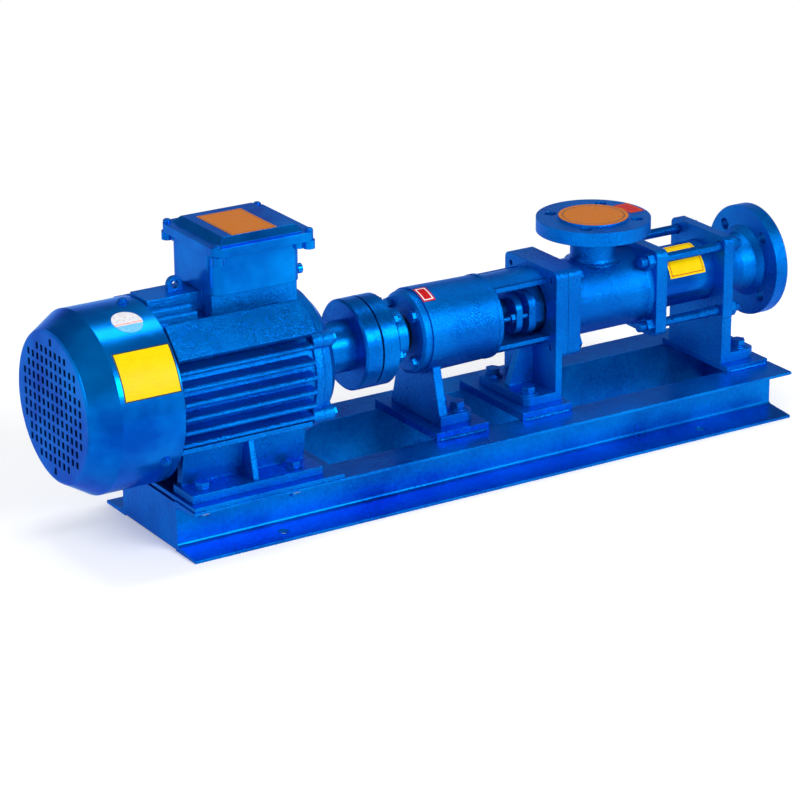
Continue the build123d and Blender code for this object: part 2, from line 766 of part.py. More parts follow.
def motor_coupling_half():
    """Disc bored for the rubber bushes, with its hub on the motor shaft."""
    x0, x1 = motor_disc_x
    chamfer = 3
    half = turned([(motor_hub_x[0], motor_shaft_end_r + 0.02), (motor_hub_x[0], motor_hub_r - 2),
                   (motor_hub_x[0] + 2, motor_hub_r), (x0, motor_hub_r),
                   (x0, coupling_disc_r - chamfer), (x0 + chamfer, coupling_disc_r),
                   (x1 - 0.6, coupling_disc_r), (x1, coupling_disc_r - 0.6),
                   (x1, motor_shaft_end_r + 0.02)])
    for y, z in coupling_pin_points():
        half -= bar_x(x0 + bush_floor, x1 + 1, coupling_bush_r + fit_gap, 0, y, z)
    half -= block((motor_hub_x[0] - 1, x1 + 1), (-5, 5),
                  (axis_z + 10, axis_z + motor_shaft_end_r + 3.3))
    return half


def pump_coupling_half():
    """Disc that holds the pins, with its hub on the pump's drive shaft."""
    x0, x1 = pump_disc_x
    chamfer = 3
    half = turned([(x0, drive_shaft_end_r + 0.02), (x0, coupling_disc_r - 0.6),
                   (x0 + 0.6, coupling_disc_r), (x1 - chamfer, coupling_disc_r),
                   (x1, coupling_disc_r - chamfer), (x1, pump_hub_r),
                   (pump_hub_end_x - 2, pump_hub_r), (pump_hub_end_x, pump_hub_r - 2),
                   (pump_hub_end_x, drive_shaft_end_r + 0.02)])
    for y, z in coupling_pin_points():
        half -= bar_x(x0 - 1, x1 + 1, coupling_pin_r + 0.02, 0, y, z)
    half -= block((x0 - 1, pump_hub_end_x + 1), (-5, 5),
                  (axis_z + 10, axis_z + drive_shaft_end_r + 3.3))
    return half


def coupling_pins():
    """Pins held in the pump-side disc that drive through the rubber bushes."""
    pins = []
    for y, z in coupling_pin_points():
        pins.append(bar_x(motor_disc_x[0] + bush_floor + 1, pump_disc_x[1] + 14,
                          coupling_pin_r, 0, y, z))
    return group(pins)


def coupling_bushes():
    return group([bar_x(motor_disc_x[0] + bush_floor, motor_disc_x[1], coupling_bush_r,
                        coupling_pin_r + 0.02, y, z)
                  for y, z in coupling_pin_points()])


def coupling_nuts():
    x = pump_disc_x[1]
    return group([nut_with_hole_x(x, x + 8, 15, coupling_pin_r + 0.02, y, z)
                  for y, z in coupling_pin_points()])


def shaft_key(x0, x1, shaft_r):
    return block((x0, x1), (-4.98, 4.98), (axis_z + shaft_r - 4.98, axis_z + shaft_r + 3))


# ---------- bearing bracket ----------
def lantern_bars():
    """Upper and lower bars joining the bearing housing to the square plate."""
    x0, x1 = housing_x[1] - 4, bracket_plate_x[0] + 2
    ring = bar_x(x0, x1, lantern_r[1], lantern_r[0])
    low, high = window_z
    bars = ring - block((x0 - 1, x1 + 1), (-70, 70), (axis_z + low, axis_z + high))
    lip = 3
    for height in (low - lip, high + lip):
        lip_y = math.sqrt(lantern_r[1] ** 2 - height ** 2)
        for side in (-1, 1):
            bars += block((x0, x1), sorted((side * (lip_y - 8), side * (lip_y + 3))),
                          (axis_z + height - lip, axis_z + height + lip))
    return bars


def with_bolt_seats(foot, x, foot_z, thick):
    """Add the raised round seats and the holes of the two foot bolts."""
    top = foot_z + thick
    for y in (-foot_bolt_half_pitch, foot_bolt_half_pitch):
        foot += bar_z(x, y, top - 1, top + bolt_seat_rise, bolt_seat_r)
        foot -= bar_z(x, y, foot_z - 1, top + bolt_seat_rise + 1, foot_stud_r + bolt_hole_gap)
    return foot


def bearing_leg():
    """Flared leg and foot under the bearing housing."""
    foot_z = base_height + foot_pad_thick
    top = axis_z - 38
    points = [(-leg_half_width_top, top), (-foot_half_width, foot_z), (foot_half_width, foot_z),
              (leg_half_width_top, top)]
    leg = prism_x(points, *leg_x)
    foot = block(leg_foot_x, (-foot_half_width, foot_half_width), (foot_z, foot_z + leg_foot_thick))
    foot = fillet(foot.edges().filter_by(Axis.Z).group_by(Axis.X)[-1], foot_corner_r)
    rib = prism_y([(leg_x[1] - 2, foot_z + 5), (leg_foot_x[1] - 6, foot_z + 5),
                   (leg_x[1] + 16, axis_z - 52), (leg_x[1] - 2, axis_z - 52)], -6, 6)
    leg = leg + foot + rib
    return with_bolt_seats(leg, leg_bolt_x, foot_z, leg_foot_thick)


def plate_leg():
    """Leg, foot and sloping gusset under the square plate."""
    foot_z = base_height + foot_pad_thick
    x0 = bracket_plate_x[0]
    leg = block((x0, x0 + plate_leg_thick), (-foot_half_width, foot_half_width),
                (foot_z, axis_z - 40))
    foot = block(plate_foot_x, (-foot_half_width, foot_half_width),
                 (foot_z, foot_z + plate_foot_thick))
    foot = fillet(foot.edges().filter_by(Axis.Z).group_by(Axis.X)[0], foot_corner_r)
    gusset = prism_y([(plate_foot_x[0] + 8, foot_z + 5), (x0 + 2, foot_z + 5), (x0 + 2, axis_z - 48),
                      (x0 - 16, axis_z - 48)], -6, 6)
    leg = leg + foot + gusset
    return with_bolt_seats(leg, plate_foot_bolt_x, foot_z, plate_foot_thick)


def bearing_bracket():
    """One casting: bearing housing, lantern, square plate and both legs."""
    x0, x1 = housing_x
    points = [(x0, 24), (x0, housing_r), (housing_rim_x, housing_r - 2),
              (housing_rim_x, housing_rim_r + 1.5),
              (x1 - 2, housing_rim_r + 1.5), (x1, housing_rim_r - 1), (x1, 24)]
    body = turned(points)
    body += rounded_plate(*bracket_plate_x, plate_half, plate_corner_r)
    body += bearing_leg() + plate_leg() + lantern_bars()
    body -= bar_x(bracket_plate_x[0] - 1, bracket_plate_x[1] + 1, bracket_plate_bore_r)
    body -= bar_x(x0 - 1, rear_bearing_x + bearing_width, bearing_r)
    body -= bar_x(x0 - 1, x1 + 1, 24)
    for y, z in plate_bolt_points(chamber_bolt_offset):
        body -= bar_x(bracket_plate_x[0] + 3, bracket_plate_x[1] + 1, 6 + fit_gap, 0, y, z)
        body -= bar_x(bracket_plate_x[0] - 1, bracket_plate_x[0] + 4, 4, 0, y, z)
    for angle in cover_bolt_angles:
        y, z = around(cover_bolt_ring_r, angle)
        body -= bar_x(x0 - 1, x0 + 16, 4 + fit_gap, 0, y, z)
    return body


def plate_bolt_points(offset):
    return [(y, axis_z + z) for y in (-offset, offset) for z in (-offset, offset)]


def bearing_cover():
    """Flanged cover over the front bearing with the seal seat."""
    x0, x1 = cover_x
    cover = turned([(x0, 26), (x0, cover_r - 6), (x0 + 3, cover_r - 1), (x0 + 7, cover_r),
                    (x1, cover_r), (x1, 26)])
    for angle in cover_bolt_angles:
        y, z = around(cover_bolt_ring_r, angle)
        cover -= bar_x(x0 - 1, x1 + 1, 4 + bolt_hole_gap, 0, y, z)
    return cover


def bearing_cover_bolts():
    bolts = []
    for angle in cover_bolt_angles:
        y, z = around(cover_bolt_ring_r, angle)
        bolt = bar_x(cover_x[0] - 1.6, cover_x[0], 9, 0, y, z)
        bolt += hex_x(cover_x[0] - 7.6, cover_x[0] - 1.6, 14, y, z)
        bolts.append(bolt + bar_x(cover_x[0], housing_x[0] + 14, 4, 0, y, z))
    return group(bolts)


def oil_seal(x0, x1, outer_r, shaft_r):
    return bar_x(x0, x1, outer_r, shaft_r + running_gap)


def drive_bearings():
    return group([ball_bearing(x, bearing_width, bearing_bore_r, bearing_r)
                  for x in (front_bearing_x, rear_bearing_x)])


def drive_shaft():
    """Stepped shaft ending in the socket of the first universal joint."""
    x0, x1 = drive_shaft_x
    front = front_bearing_x
    rear = rear_bearing_x + bearing_width
    step = pump_hub_end_x + 4
    shaft = turned([(x0, 0), (x0, drive_shaft_end_r - 1.5), (x0 + 1.5, drive_shaft_end_r),
                    (step, drive_shaft_end_r), (step, drive_shaft_end_r + 1.5),
                    (front, drive_shaft_end_r + 1.5),
                    (front, bearing_bore_r), (front + bearing_width, bearing_bore_r),
                    (front + bearing_width, 23), (rear_bearing_x, 23), (rear_bearing_x, bearing_bore_r),
                    (rear, bearing_bore_r), (rear, drive_shaft_seal_r),
                    (shaft_head_taper_x[0], drive_shaft_seal_r),
                    (shaft_head_taper_x[1], drive_shaft_head_r), (x1, drive_shaft_head_r), (x1, 0)])
    shaft -= joint_socket(rod_left_x, x1, -1, 0)
    shaft -= block((x0 - 1, pump_hub_end_x), (-5, 5),
                   (axis_z + drive_shaft_end_r - 5, axis_z + drive_shaft_end_r + 1))
    for y in (-1, 1):
        shaft -= pin_hole(rod_left_x, 0, y)
    return shaft


# ---------- shaft seal ----------
def packing_rings():
    """Square braided rings packed round the shaft."""
    first = gland_nose_x
    return group([bar_x(first + i * packing_width, first + (i + 1) * packing_width - 0.1,
                        box_bore_r - 0.05, drive_shaft_seal_r + running_gap)
                  for i in range(packing_ring_count)])


def oval_flange(x0, x1, half_length, half_height, corner):
    """Flat oval flange lying across the shaft with its long way along Y."""
    start = Plane(origin=(x0, 0, axis_z), x_dir=(0, 1, 0), z_dir=(1, 0, 0))
    return extrude(start * RectangleRounded(2 * half_length, 2 * half_height, corner), x1 - x0)


def gland_follower():
    """Sleeve with an oval flange that squeezes the packing."""
    gland = oval_flange(*gland_flange_x, gland_stud_y + 8, 27, 20)
    gland += bar_x(gland_flange_x[1], gland_nose_x - 0.1, box_bore_r - running_gap)
    gland -= bar_x(gland_flange_x[0] - 1, gland_nose_x + 1, drive_shaft_seal_r + turning_clearance)
    for y in (-gland_stud_y, gland_stud_y):
        gland -= bar_x(gland_flange_x[0] - 1, gland_flange_x[1] + 1, gland_stud_r + 0.5, 0, y, axis_z)
    return gland


def gland_studs():
    return group([bar_x(gland_flange_x[0] - 8 - gland_travel, stuffing_box_x + 10, gland_stud_r, 0, y, axis_z)
                  for y in (-gland_stud_y, gland_stud_y)])


def gland_nuts():
    x = gland_flange_x[0]
    return group([nut_with_hole_x(x - 7, x, 13, gland_stud_r + running_gap, y, axis_z)
                  for y in (-gland_stud_y, gland_stud_y)])


# ---------- suction chamber ----------
def pipe_flange_holes():
    """Four bolt holes straddling the flange centre lines."""
    holes = []
    for angle in (45, 135, 225, 315):
        turn = math.radians(angle)
        holes.append((pipe_bolt_ring_r * math.cos(turn), pipe_bolt_ring_r * math.sin(turn)))
    return holes


def clear_round_bolts(body, low, high, points, r):
    """Cut the flare back round bolt heads or nuts."""
    for y, z in points:
        body -= bar_x(low, high, r, 0, y, z)
    return body


def suction_chamber():
    """Casting with two square flanges, the top suction branch and the stuffing box."""
    x0, x1 = chamber_x
    left, right = x0 + chamber_left_flange, x1 - chamber_right_flange
    body = Pos(0, 0, axis_z) * spool(left - 1, right + 1, chamber_r, chamber_flare)
    body = clear_round_bolts(body, left - 2, left + 16, plate_bolt_points(chamber_bolt_offset), 12)
    body = clear_round_bolts(body, right - 24, right + 2, tie_rod_points(), 13.5)
    body += rounded_plate(x0, left, plate_half, plate_corner_r)
    body += rounded_plate(right, x1, plate_half, plate_corner_r)
    flange_bottom = suction_top_z - raised_face_height - pipe_flange_thick
    neck = spool(axis_z + chamber_r - 6, flange_bottom + 1, suction_neck_r, neck_flare)
    body += Pos(suction_x, 0, 0) * Rot(0, -90, 0) * neck
    body += bar_z(suction_x, 0, axis_z, axis_z + chamber_r, suction_neck_r)
    body += bar_z(suction_x, 0, flange_bottom, flange_bottom + pipe_flange_thick, pipe_flange_r)
    body += bar_z(suction_x, 0, flange_bottom, suction_top_z, raised_face_r)
    drum_start = Plane(origin=(stuffing_box_x + 10, 0, axis_z), x_dir=(0, 1, 0), z_dir=(1, 0, 0))
    drum = extrude(drum_start * RegularPolygon(stuffing_box_r, 8, major_radius=False, rotation=22.5),
                   x0 + 4 - stuffing_box_x - 10)
    body += drum
    body += oval_flange(stuffing_box_x, stuffing_box_x + 12, gland_stud_y + 7, 30, 20)
    cavity_left = x0 + 12
    body -= bar_x(cavity_left, x1 - chamber_right_flange - 2, chamber_r - chamber_wall)
    body -= bar_x(cavity_left, x1 + 1, tube_r - tube_wall)
    body -= bar_x(stator_x[0], x1 + 1, tube_r + fit_gap)
    body -= bar_z(suction_x, 0, axis_z, suction_top_z + 1, pipe_bore_r)
    packing_end = gland_nose_x + packing_ring_count * packing_width
    body -= bar_x(stuffing_box_x - 1, packing_end, box_bore_r)
    body -= bar_x(stuffing_box_x - 1, cavity_left + 1, drive_shaft_seal_r + 1)
    for y in (-gland_stud_y, gland_stud_y):
        body -= bar_x(stuffing_box_x - 1, stuffing_box_x + 10, gland_stud_r + 0.02, 0, y, axis_z)
    for y, z in plate_bolt_points(chamber_bolt_offset):
        body -= bar_x(x0 - 1, x0 + chamber_left_flange + 1, 6 + bolt_hole_gap, 0, y, z)
    for y, z in tie_rod_points():
        body -= bar_x(x1 - chamber_right_flange - 1, x1 + 1, tie_rod_r + bolt_hole_gap, 0, y, z)
    for x, y in pipe_flange_holes():
        body -= bar_z(suction_x + x, y, flange_bottom - 1, suction_top_z + 1, pipe_bolt_hole_r)
    return body


def chamber_gasket():
    ring = rounded_plate(bracket_plate_x[1], chamber_x[0], plate_half - 2, plate_corner_r)
    ring -= bar_x(bracket_plate_x[1] - 1, chamber_x[0] + 1, bracket_plate_bore_r + 1)
    for y, z in plate_bolt_points(chamber_bolt_offset):
        ring -= bar_x(bracket_plate_x[1] - 1, chamber_x[0] + 1, 7, 0, y, z)
    return ring


def chamber_bolts():
    """Bolts that pull the chamber onto the bracket plate."""
    seat = chamber_x[0] + chamber_left_flange
    bolts = []
    for y, z in plate_bolt_points(chamber_bolt_offset):
        bolt = hex_x(seat, seat + 7.5, 18, y, z)
        bolts.append(bolt + bar_x(bracket_plate_x[0] + 3, seat, 6, 0, y, z))
    return group(bolts)


# ---------- coupling rod, rotor and stator ----------
def joint_socket(ball_x, mouth_x, direction, y):
    """Blind bore round a ball head; direction points from mouth to bottom."""
    deep = ball_x + direction * (rod_ball_r + 1)
    low, high = sorted((deep, mouth_x - direction))
    return bar_x(low, high, rod_ball_r + socket_gap, 0, y)


def pin_hole(x, y, side):
    """Cross hole for a joint pin through one wall of a socket."""
    low, high = sorted((side * (rod_ball_r - 4), side * (rotor_head_r + 5)))
    hole = Pos(x, y + (low + high) / 2, axis_z) * Rot(90, 0, 0) * Cylinder(joint_pin_r, high - low)
    return hole


def joint_pins(x, y, head_r):
    """Two short pins that key a socket to the groove of its ball head."""
    pins = []
    for side in (-1, 1):
        low, high = sorted((side * (rod_ball_r - 3), side * (head_r - 0.5)))
        pins.append(Pos(x, y + (low + high) / 2, axis_z) * Rot(90, 0, 0)
                    * Cylinder(joint_pin_r - 0.01, high - low))
    return group(pins)


def ball_arc(centre_x, from_degrees, to_degrees):
    """Arc of a ball head's outline in the plane that is turned into the rod."""
    spots = []
    for degrees in (from_degrees, (from_degrees + to_degrees) / 2, to_degrees):
        angle = math.radians(degrees)
        spots.append((centre_x + rod_ball_r * math.cos(angle), rod_ball_r * math.sin(angle)))
    return ThreePointArc(*spots)


def coupling_rod():
    """Rod with a grooved ball head at each end, tilted onto the rotor's centre."""
    length = math.hypot(rod_right_x - rod_left_x, eccentricity)
    half_groove = joint_pin_r + 1.3
    groove_r = rod_ball_r - 4.5
    rim = math.sqrt(rod_ball_r ** 2 - half_groove ** 2)
    rim_angle = math.degrees(math.acos(half_groove / rod_ball_r))
    neck_angle = math.degrees(math.asin(rod_neck_r / rod_ball_r))
    neck_x = rod_ball_r * math.cos(math.radians(neck_angle))
    edges = []
    for x in (0, length):
        edges.append(Polyline((x - half_groove, rim), (x - half_groove, groove_r),
                              (x + half_groove, groove_r), (x + half_groove, rim)))
    edges.append(ball_arc(0, 180, 180 - rim_angle))
    edges.append(ball_arc(0, rim_angle, neck_angle))
    edges.append(Line((neck_x, rod_neck_r), (length - neck_x, rod_neck_r)))
    edges.append(ball_arc(length, 180 - neck_angle, 180 - rim_angle))
    edges.append(ball_arc(length, rim_angle, 0))
    edges.append(Line((-rod_ball_r, 0), (length + rod_ball_r, 0)))
    rod = revolve(make_face(edges), axis=Axis.X)
    tilt = math.degrees(math.atan2(eccentricity, rod_right_x - rod_left_x))
    return Pos(rod_left_x, 0, axis_z) * Rot(0, 0, tilt) * rod


def rotor():
    """Single-start helical rotor with its joint head, set off the pump axis."""
    x0, x1 = rotor_x
    start = Plane(origin=(x0, eccentricity, axis_z), x_dir=(0, 1, 0), z_dir=(1, 0, 0))
    section = start * Pos(eccentricity, 0) * Circle(rotor_r)
    turns = 360 * (x1 - x0) / rotor_pitch
    helix = Solid.extrude_linear_with_rotation(
        section.faces()[0].outer_wire(), center=(x0, eccentricity, axis_z),
        normal=(x1 - x0, 0, 0), angle=turns)
    head = turned([(rotor_head_x[0], 0), (rotor_head_x[0], rotor_head_r), (rotor_head_x[1], rotor_head_r),
                   (x0 + 1, 12), (x0 + 1, 0)], eccentricity)
    head -= joint_socket(rod_right_x, rotor_head_x[0], 1, eccentricity)
    for side in (-1, 1):
        head -= pin_hole(rod_right_x, eccentricity, side)
    return head + helix


def stator_lining():
    """Rubber lining whose two-start cavity has twice the rotor's pitch."""
    x0, x1 = stator_x
    blank = bar_x(x0 + 1, x1 - 1, tube_r - tube_wall - 0.05)
    length = x1 - x0 + 2
    cavity_start = x0 - 1
    phase = 180 * (cavity_start - rotor_x[0]) / rotor_pitch
    r = rotor_r + rotor_clearance
    section = Pos(0, 0) * SlotOverall(2 * r + 4 * eccentricity, 2 * r)
    start = Plane(origin=(cavity_start, 0, axis_z), x_dir=(0, 1, 0), z_dir=(1, 0, 0))
    wire = (start * Rot(0, 0, phase) * section).faces()[0].outer_wire()
    cavity = Solid.extrude_linear_with_rotation(
        wire, center=(cavity_start, 0, axis_z), normal=(length, 0, 0),
        angle=180 * length / rotor_pitch)
    return blank - cavity


def stator_tube():
    return bar_x(*stator_x, tube_r, tube_r - tube_wall)


def tie_rod_points():
    return [(y, axis_z + z) for y in (-tie_rod_y, tie_rod_y) for z in (-tie_rod_z, tie_rod_z)]


def tie_rods():
    return group([bar_x(*tie_rod_x, tie_rod_r, 0, y, z) for y, z in tie_rod_points()])


def tie_rod_nuts():
    """Nuts against the chamber flange and against the outlet plate."""
    left = chamber_x[1] - chamber_right_flange
    right = outlet_plate_x[1]
    flats, height = tie_rod_nut
    nuts = []
    for y, z in tie_rod_points():
        nuts.append(nut_with_hole_x(left - height, left, flats, tie_rod_r + fit_gap, y, z))
        nuts.append(nut_with_hole_x(right, right + height, flats, tie_rod_r + fit_gap, y, z))
    return group(nuts)


# ---------- outlet body ----------
def outlet_body():
    """Casting with the square plate, leg, foot and the outlet pipe flange."""
    x0, x1 = outlet_plate_x
    flange_x = outlet_end_x - raised_face_height - pipe_flange_thick
    body = rounded_plate(x0, x1, plate_half, plate_corner_r)
    body += turned([(x1 - 4, 0), (x1 - 4, 46), (x1, 44), (x1 + 14, outlet_neck_r + 2),
                    (x1 + 30, outlet_neck_r), (flange_x - 26, outlet_neck_r),
                    (flange_x - 8, outlet_neck_r + 6), (flange_x, outlet_neck_r + 16),
                    (flange_x, pipe_flange_r), (outlet_end_x - raised_face_height, pipe_flange_r),
                    (outlet_end_x - raised_face_height, raised_face_r), (outlet_end_x, raised_face_r),
                    (outlet_end_x, 0)])
    foot_z = base_height + outlet_pad_thick
    half = outlet_foot_half_width
    body += block((x0, x1), (-half, half), (foot_z, axis_z - 40))
    foot = block((x0, outlet_foot_end_x), (-half, half), (foot_z, foot_z + outlet_foot_thick))
    body += fillet(foot.edges().filter_by(Axis.Z).group_by(Axis.X)[-1], foot_corner_r)
    body += prism_y([(x0 + 2, foot_z + 5), (outlet_foot_end_x - 6, foot_z + 5),
                     (x1 + 14, axis_z - 46), (x0 + 2, axis_z - 46)], -6, 6)
    body -= turned([(x0 - 1, 0), (x0 - 1, tube_r + fit_gap), (stator_x[1] + fit_gap, tube_r + fit_gap),
                    (stator_x[1] + fit_gap, 36), (x1, 36), (x1 + 22, pipe_bore_r),
                    (outlet_end_x + 1, pipe_bore_r), (outlet_end_x + 1, 0)])
    for y, z in tie_rod_points():
        body -= bar_x(x0 - 1, x1 + 1, tie_rod_r + bolt_hole_gap, 0, y, z)
    for a, b in pipe_flange_holes():
        body -= bar_x(flange_x - 1, outlet_end_x + 1, pipe_bolt_hole_r, 0, a, axis_z + b)
    return with_bolt_seats(body, outlet_bolt_x, foot_z, outlet_foot_thick)


def bracket_foot_bolts():
    """Four bolts holding both feet of the bearing bracket."""
    foot_z = base_height + foot_pad_thick
    return group(foot_bolts(leg_bolt_x, foot_z + leg_foot_thick + bolt_seat_rise, base_height)
                 + foot_bolts(plate_foot_bolt_x, foot_z + plate_foot_thick + bolt_seat_rise,
                                base_height))


def outlet_foot_bolts():
    foot_z = base_height + outlet_pad_thick
    top = foot_z + outlet_foot_thick + bolt_seat_rise
    return group(foot_bolts(outlet_bolt_x, top, base_height))


# ---------- all nodes ----------
def all_nodes():
    base_left = -base_length / 2
    return {
        "base_channel_front": base_channel(-1),
        "base_channel_rear": base_channel(1),
        "base_end_plate_left": base_end_plate(base_left),
        "base_end_plate_right": base_end_plate(-base_left - end_plate_thick),
        "motor_pad": motor_pad(),
        "bearing_foot_pad": foot_pad(bearing_pad_x, foot_pad_half_width, foot_pad_thick, leg_bolt_x),
        "bracket_foot_pad": foot_pad(bracket_pad_x, foot_pad_half_width, foot_pad_thick,
                                     plate_foot_bolt_x),
        "outlet_foot_pad": foot_pad(outlet_pad_x, outlet_pad_half_width, outlet_pad_thick,
                                    outlet_bolt_x),
        "motor_frame": motor_frame(),
        "drive_endshield": drive_endshield(),
        "rear_endshield": rear_endshield(),
        "drive_endshield_bolts": endshield_bolts(frame_x[1] + 16, 1, 28, front_ear_angles),
        "rear_endshield_bolts": endshield_bolts(rear_shield_x[1] - 12, -1, 24, rear_ear_angles),
        "fan_cover": fan_cover(),
        "fan_cover_screws": fan_cover_screws(),
        "cooling_fan": cooling_fan(),
        "terminal_box": terminal_box(),
        "terminal_box_lid": terminal_box_lid(),
        "terminal_lid_screws": terminal_lid_screws(),
        "cable_gland": cable_gland(),
        "motor_stator_core": stator_core(),
        "motor_windings": stator_windings(),
        "motor_rotor_core": rotor_core(),
        "motor_shaft": motor_shaft(),
        "motor_bearings": motor_bearings(),
        "motor_foot_bolts": motor_foot_bolts(),
        "motor_foot_nuts": motor_foot_nuts(),
        "motor_coupling_half": motor_coupling_half(),
        "pump_coupling_half": pump_coupling_half(),
        "coupling_pins": coupling_pins(),
        "coupling_bushes": coupling_bushes(),
        "coupling_nuts": coupling_nuts(),
        "motor_shaft_key": shaft_key(motor_hub_x[0] + 2, motor_shaft_end_x - 2, motor_shaft_end_r),
        "pump_shaft_key": shaft_key(drive_shaft_x[0] + 2, pump_hub_end_x - 2, drive_shaft_end_r),
        "bearing_bracket": bearing_bracket(),
        "bearing_cover": bearing_cover(),
        "bearing_cover_bolts": bearing_cover_bolts(),
        "front_oil_seal": oil_seal(cover_x[0] + 2, cover_x[1] - 1, 26, drive_shaft_end_r + 1.5),
        "rear_oil_seal": oil_seal(rear_bearing_x + bearing_width + 8, housing_x[1] - 2, 24,
                                  drive_shaft_seal_r),
        "drive_bearings": drive_bearings(),
        "drive_shaft": drive_shaft(),
        "bracket_foot_bolts": bracket_foot_bolts(),
        "packing_rings": packing_rings(),
        "gland_follower": gland_follower(),
        "gland_studs": gland_studs(),
        "gland_nuts": gland_nuts(),
        "suction_chamber": suction_chamber(),
        "chamber_gasket": chamber_gasket(),
        "chamber_bolts": chamber_bolts(),
        "coupling_rod": coupling_rod(),
        "drive_joint_pins": joint_pins(rod_left_x, 0, drive_shaft_head_r),
        "rotor_joint_pins": joint_pins(rod_right_x, eccentricity, rotor_head_r),
        "rotor": rotor(),
        "stator_tube": stator_tube(),
        "stator_lining": stator_lining(),
        "tie_rods": tie_rods(),
        "tie_rod_nuts": tie_rod_nuts(),
        "outlet_body": outlet_body(),
        "outlet_foot_bolts": outlet_foot_bolts(),
    }


os.makedirs("parts", exist_ok=True)
for name, shape in all_nodes().items():
    export_step(shape, f"parts/{name}.step")
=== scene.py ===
import json
import math
import random

import bmesh
import bpy
from mathutils import Matrix, Vector


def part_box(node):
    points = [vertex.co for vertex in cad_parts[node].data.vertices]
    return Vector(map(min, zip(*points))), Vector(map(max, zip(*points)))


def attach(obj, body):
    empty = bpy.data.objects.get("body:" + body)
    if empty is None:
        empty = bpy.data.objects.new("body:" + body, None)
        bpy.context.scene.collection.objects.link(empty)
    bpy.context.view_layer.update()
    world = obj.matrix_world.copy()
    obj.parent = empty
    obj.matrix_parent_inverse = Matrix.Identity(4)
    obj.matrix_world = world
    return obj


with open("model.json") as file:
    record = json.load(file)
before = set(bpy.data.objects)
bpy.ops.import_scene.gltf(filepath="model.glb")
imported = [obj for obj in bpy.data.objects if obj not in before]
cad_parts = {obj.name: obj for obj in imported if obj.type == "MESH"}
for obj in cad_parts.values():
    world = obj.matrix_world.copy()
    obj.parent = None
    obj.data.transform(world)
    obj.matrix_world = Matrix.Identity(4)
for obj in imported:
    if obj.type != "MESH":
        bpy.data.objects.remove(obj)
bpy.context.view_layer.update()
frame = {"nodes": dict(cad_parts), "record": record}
nodes = frame["nodes"]
record = frame["record"]
mounts = {mount["name"]: mount["pos_m"] for mount in record["mounts"]}
joints = {joint["name"]: joint.get("pos_m") for joint in record["behaviour"]["joints"]}

MM = 0.001
ROOT = "pump_and_base"
AXIS_Z = joints["shaft_spin"][2]
SUCTION_X = mounts["suction_bolts"][0]
HOUSING_R = 62 * MM
TIE_ROD_R = 7 * MM


# ---------- materials ----------
def new_material(name):
    """Material with its node tree and its Principled shader."""
    material = bpy.data.materials.new(name)
    material.use_nodes = True
    tree = material.node_tree
    shader = tree.nodes["Principled BSDF"]
    return material, tree, shader


def noise(tree, scale, detail=3.0, rough=0.5, stretch=None):
    """Noise in the object's own coordinates, in repeats per metre."""
    place = tree.nodes.new("ShaderNodeTexCoord")
    texture = tree.nodes.new("ShaderNodeTexNoise")
    texture.inputs["Scale"].default_value = scale
    texture.inputs["Detail"].default_value = detail
    texture.inputs["Roughness"].default_value = rough
    out = place.outputs["Object"]
    if stretch:
        mapping = tree.nodes.new("ShaderNodeMapping")
        mapping.inputs["Scale"].default_value = stretch
        tree.links.new(out, mapping.inputs["Vector"])
        out = mapping.outputs["Vector"]
    tree.links.new(out, texture.inputs["Vector"])
    return texture


def ramp(tree, source, stops, mode="LINEAR"):
    """Colour ramp over a texture's factor."""
    node = tree.nodes.new("ShaderNodeValToRGB")
    node.color_ramp.interpolation = mode
    elements = node.color_ramp.elements
    while len(elements) < len(stops):
        elements.new(0.5)
    for element, (place, color) in zip(elements, stops):
        element.position = place
        element.color = color if len(color) == 4 else (*color, 1)
    tree.links.new(source, node.inputs["Fac"])
    return node


def grey(value):
    """Opaque grey of one value."""
    return (value, value, value, 1)


def math_node(tree, operation, first, second):
    """Math node whose inputs are sockets or numbers."""
    node = tree.nodes.new("ShaderNodeMath")
    node.operation = operation
    for slot, value in zip(node.inputs, (first, second)):
        if isinstance(value, (int, float)):
            slot.default_value = value
        else:
            tree.links.new(value, slot)
    return node.outputs["Value"]


def bumps(tree, shader, layers, edge=0.0):
    """Chain of bump layers (texture output, strength, depth) over softly rounded edges."""
    last = None
    if edge:
        rounded = tree.nodes.new("ShaderNodeBevel")
        rounded.samples = 6
        rounded.inputs["Radius"].default_value = edge
        last = rounded
    for source, strength, depth in layers:
        bump = tree.nodes.new("ShaderNodeBump")
        bump.inputs["Strength"].default_value = strength
        bump.inputs["Distance"].default_value = depth
        tree.links.new(source, bump.inputs["Height"])
        if last:
            tree.links.new(last.outputs["Normal"], bump.inputs["Normal"])
        last = bump
    tree.links.new(last.outputs["Normal"], shader.inputs["Normal"])


PAINT_DEEP = (0.0, 0.058, 0.38)
PAINT_FULL = (0.0, 0.205, 0.72)
PAINT_METAL = 0.75
PAINT_SHEEN = (0.03, 0.45, 1.0, 1)


